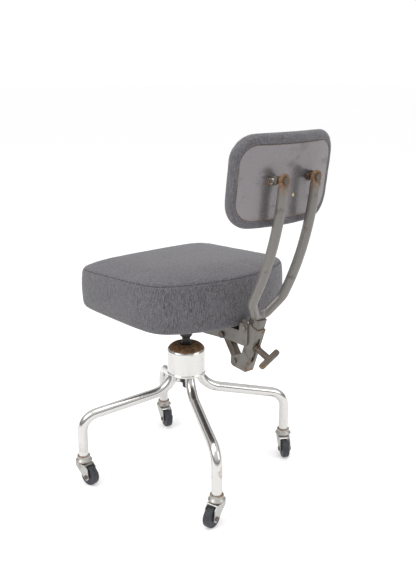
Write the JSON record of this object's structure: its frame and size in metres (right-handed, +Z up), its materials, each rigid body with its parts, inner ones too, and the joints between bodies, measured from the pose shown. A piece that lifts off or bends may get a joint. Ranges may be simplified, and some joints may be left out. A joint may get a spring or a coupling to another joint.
{
  "type": "swivel posture chair",
  "caption": "Armless swivel posture chair with screw height, castered tube legs, boxed seat and tilting padded backrest on a bent tube.",
  "frame": {"origin": "on the floor on the seat swivel axis", "axes": "+Z up, the sitter faces -Y, +X is the sitter's left"},
  "size_m": [0.47, 0.5702, 0.7853],
  "materials": {
    "leg_chrome": "polished chrome, slightly worn",
    "hood_chrome": "chrome, top rusted brown",
    "grey_paint": "worn grey paint with rust at the edges",
    "plate_paint": "satin grey paint",
    "rusty_steel": "rusted steel",
    "dark_steel": "oiled dark steel",
    "bright_steel": "plain bright steel",
    "zinc": "dull zinc plate",
    "rubber": "scuffed rubber",
    "grey_fabric": "heathered grey woven cloth",
    "pan_wood": "plywood"
  },
  "bodies": {
    "base": {"leg_1": "leg_chrome", "leg_2": "leg_chrome", "leg_3": "leg_chrome", "leg_4": "leg_chrome", "hub_core": "dark_steel", "hub_plate": "dark_steel", "hub_hood": "hood_chrome", "bearing_lower_race": "bright_steel", "bearing_balls": "bright_steel", "caster_collars": "zinc", "caster_sockets": "dark_steel"},
    "swivel": {"bearing_upper_race": "bright_steel", "spindle_nut": "dark_steel"},
    "seat": {"spindle_screw": "dark_steel", "spindle_collar": "rusty_steel", "spindle_socket": "rusty_steel", "seat_iron": "grey_paint", "seat_arm_front": "grey_paint", "seat_arm_rear": "grey_paint", "seat_pan": "pan_wood", "seat_cushion": "grey_fabric", "seat_bolts": "rusty_steel", "upright_pivot_pin": "grey_paint", "brace_clamp_bolt": "rusty_steel", "brace_clamp_nut": "rusty_steel"},
    "back_upright": {"upright": "grey_paint", "brace_pin": "grey_paint"},
    "brace": {"brace_link": "rusty_steel"},
    "back_slide": {"back_post": "grey_paint", "u_tube": "grey_paint", "hinge_block_left": "rusty_steel", "hinge_block_right": "rusty_steel", "tab_bolts": "rusty_steel"},
    "clamp_screw": {"t_screw": "rusty_steel", "t_handle": "rusty_steel", "t_washer": "rusty_steel"},
    "backrest": {"back_plate": "plate_paint", "back_cushion": "grey_fabric", "back_bracket_left": "grey_paint", "back_bracket_right": "grey_paint", "pivot_bolts": "rusty_steel", "pivot_nuts": "bright_steel"},
    "caster_1": {"caster_stem_1": "zinc", "caster_fork_1": "zinc", "caster_axle_1": "rusty_steel"},
    "wheel_1": {"caster_wheel_1": "rubber"},
    "caster_2": {"caster_stem_2": "zinc", "caster_fork_2": "zinc", "caster_axle_2": "rusty_steel"},
    "wheel_2": {"caster_wheel_2": "rubber"},
    "caster_3": {"caster_stem_3": "zinc", "caster_fork_3": "zinc", "caster_axle_3": "rusty_steel"},
    "wheel_3": {"caster_wheel_3": "rubber"},
    "caster_4": {"caster_stem_4": "zinc", "caster_fork_4": "zinc", "caster_axle_4": "rusty_steel"},
    "wheel_4": {"caster_wheel_4": "rubber"}
  },
  "joints": [
    {"name": "seat_swivel", "type": "hinge", "parent": "base", "child": "swivel", "pos_m": [0, 0, 0.29], "axis": [0, 0, 1], "continuous": true},
    {"name": "seat_height", "type": "slide", "parent": "swivel", "child": "seat", "axis": [0, 0, 1], "range_m": [-0.012, 0.08]},
    {"name": "back_tilt", "type": "hinge", "parent": "seat", "child": "back_upright", "pos_m": [0, 0.20277, 0.39677], "axis": [1, 0, 0], "range_deg": [-4.5, 4.5]},
    {"name": "brace_swing", "type": "hinge", "parent": "back_upright", "child": "brace", "pos_m": [0, 0.17157, 0.31764], "axis": [1, 0, 0], "range_deg": [-1.01, 1.01]},
    {"name": "back_height", "type": "slide", "parent": "back_upright", "child": "back_slide", "axis": [0, 0.3338, 0.9426], "range_m": [-0.012, 0.016]},
    {"name": "t_screw_turn", "type": "hinge", "parent": "back_slide", "child": "clamp_screw", "pos_m": [0, 0.22403, 0.35794], "axis": [0, 0.9426, -0.3338], "range_deg": [-90, 270]},
    {"name": "backrest_tilt", "type": "hinge", "parent": "back_slide", "child": "backrest", "pos_m": [0, 0.3125, 0.703], "axis": [1, 0, 0], "range_deg": [-12, 4]},
    {"name": "caster_swivel_1", "type": "hinge", "parent": "base", "child": "caster_1", "pos_m": [0.09564, 0.21685, 0.05], "axis": [0, 0, 1], "continuous": true},
    {"name": "wheel_spin_1", "type": "hinge", "parent": "caster_1", "child": "wheel_1", "pos_m": [0.11314, 0.22105, 0.0215], "axis": [-0.2334, 0.9724, 0], "continuous": true},
    {"name": "caster_swivel_2", "type": "hinge", "parent": "base", "child": "caster_2", "pos_m": [-0.21685, 0.09564, 0.05], "axis": [0, 0, 1], "continuous": true},
    {"name": "wheel_spin_2", "type": "hinge", "parent": "caster_2", "child": "wheel_2", "pos_m": [-0.20747, 0.111, 0.0215], "axis": [-0.8536, 0.521, 0], "continuous": true},
    {"name": "caster_swivel_3", "type": "hinge", "parent": "base", "child": "caster_3", "pos_m": [-0.09564, -0.21685, 0.05], "axis": [0, 0, 1], "continuous": true},
    {"name": "wheel_spin_3", "type": "hinge", "parent": "caster_3", "child": "wheel_3", "pos_m": [-0.09138, -0.19936, 0.0215], "axis": [-0.9715, 0.2368, 0], "continuous": true},
    {"name": "caster_swivel_4", "type": "hinge", "parent": "base", "child": "caster_4", "pos_m": [0.21685, -0.09564, 0.05], "axis": [0, 0, 1], "continuous": true},
    {"name": "wheel_spin_4", "type": "hinge", "parent": "caster_4", "child": "wheel_4", "pos_m": [0.21304, -0.07805, 0.0215], "axis": [-0.9774, -0.2113, 0], "continuous": true}
  ],
  "couplings": [
    {"joint": "brace_swing", "follows": "back_tilt", "ratio": -0.2223}
  ]
}
